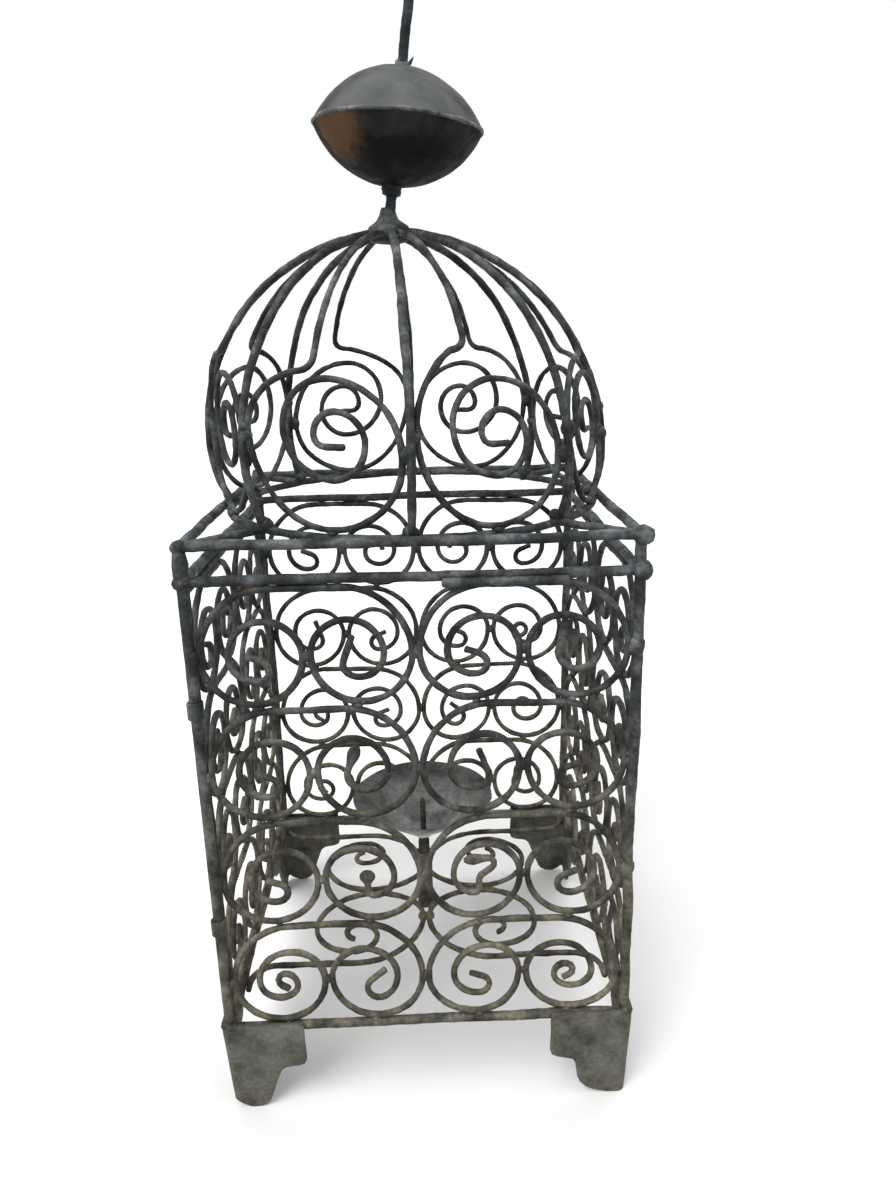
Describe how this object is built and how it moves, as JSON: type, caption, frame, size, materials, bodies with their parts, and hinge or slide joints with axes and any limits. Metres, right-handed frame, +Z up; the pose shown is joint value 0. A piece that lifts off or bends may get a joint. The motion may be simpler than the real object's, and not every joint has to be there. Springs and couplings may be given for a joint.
{
  "type": "bird-cage lantern",
  "caption": "Forged-iron candle lantern shaped like a bird cage: scrolled wire panels, ribbed dome, finial ball with hanging eye, side door and lift-out candle dish.",
  "frame": {"origin": "on the ground, under the middle of the cage", "axes": "+Z up, +X to the right and -Y towards the viewer of the picture"},
  "size_m": [0.2541, 0.2538, 0.6647],
  "materials": {
    "forged_iron": "patinated, dull",
    "finial_iron": "patinated, dull",
    "dish_iron": "dull grey sheet",
    "foot_iron": "weathered sheet"
  },
  "bodies": {
    "cage": {"bottom_rail_front": "forged_iron", "bottom_rail_left": "forged_iron", "bottom_rail_rear": "forged_iron", "bottom_rail_right": "forged_iron", "dish_socket": "forged_iron", "dome_corner_braces": "forged_iron", "dome_hub": "forged_iron", "dome_rib_front": "forged_iron", "dome_rib_front_left": "forged_iron", "dome_rib_front_right": "forged_iron", "dome_rib_left": "forged_iron", "dome_rib_rear": "forged_iron", "dome_rib_rear_left": "forged_iron", "dome_rib_rear_right": "forged_iron", "dome_rib_right": "forged_iron", "dome_ring": "forged_iron", "dome_spirals": "forged_iron", "finial_lower_shell": "finial_iron", "finial_stem": "forged_iron", "finial_upper_shell": "finial_iron", "floor_scrolls_front": "forged_iron", "floor_scrolls_rear": "forged_iron", "foot_front_left": "foot_iron", "foot_front_right": "foot_iron", "foot_rear_left": "foot_iron", "foot_rear_right": "foot_iron", "hanging_rod": "forged_iron", "latch_rivet": "forged_iron", "lower_top_rail_front": "forged_iron", "lower_top_rail_left": "forged_iron", "lower_top_rail_rear": "forged_iron", "lower_top_rail_right": "forged_iron", "post_front_left": "forged_iron", "post_front_right": "forged_iron", "post_rear_left": "forged_iron", "post_rear_right": "forged_iron", "rail_splice_bar": "forged_iron", "scrolls_front_left": "forged_iron", "scrolls_front_right": "forged_iron", "scrolls_rear_left": "forged_iron", "scrolls_rear_right": "forged_iron", "scrolls_right_left": "forged_iron", "scrolls_right_right": "forged_iron", "upper_rail_front": "forged_iron", "upper_rail_left": "forged_iron", "upper_rail_rear": "forged_iron", "upper_rail_right": "forged_iron"},
    "door": {"door_bottom_bar": "forged_iron", "door_hinge_bar": "forged_iron", "door_latch_bar": "forged_iron", "door_scrolls_front": "forged_iron", "door_scrolls_rear": "forged_iron", "door_top_bar": "forged_iron", "hinge_strap_lower": "forged_iron", "hinge_strap_upper": "forged_iron"},
    "dish": {"candle_dish": "dish_iron", "dish_spigot": "forged_iron", "pricket": "forged_iron"},
    "latch": {"latch_button": "forged_iron"}
  },
  "joints": [
    {"name": "door_hinge", "type": "hinge", "parent": "cage", "child": "door", "pos_m": [-0.12, -0.12, 0.199], "axis": [0, 0, 1], "range_deg": [0, 110]},
    {"name": "dish_lift", "type": "slide", "parent": "cage", "child": "dish", "axis": [0, 0, 1], "range_m": [0, 0.04]},
    {"name": "latch_turn", "type": "hinge", "parent": "cage", "child": "latch", "pos_m": [-0.124, 0.12, 0.199], "axis": [-1, 0, 0], "range_deg": [0, 90]}
  ]
}
